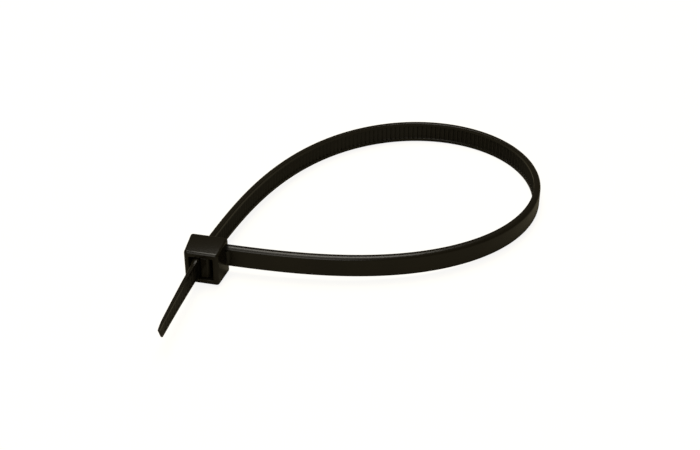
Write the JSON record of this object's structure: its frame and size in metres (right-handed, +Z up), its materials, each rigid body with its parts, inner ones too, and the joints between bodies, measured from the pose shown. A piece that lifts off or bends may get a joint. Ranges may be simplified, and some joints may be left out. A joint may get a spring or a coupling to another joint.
{
  "type": "cable tie",
  "caption": "One-piece moulded cable tie closed into a teardrop loop, with a toothed inner face, a block head with a pawl, and a thin ribbed tail.",
  "frame": {"origin": "on the surface the tie lies on, under the centre of its bounding box", "axes": "+Z up; +Y from the tail's tip through the slot towards the loop; +X the way the strap leaves the head"},
  "size_m": [0.0678, 0.0882, 0.0083],
  "materials": {
    "nylon": "satin black moulded nylon"
  },
  "bodies": {
    "root": {"cable_tie": "nylon"}
  },
  "joints": []
}
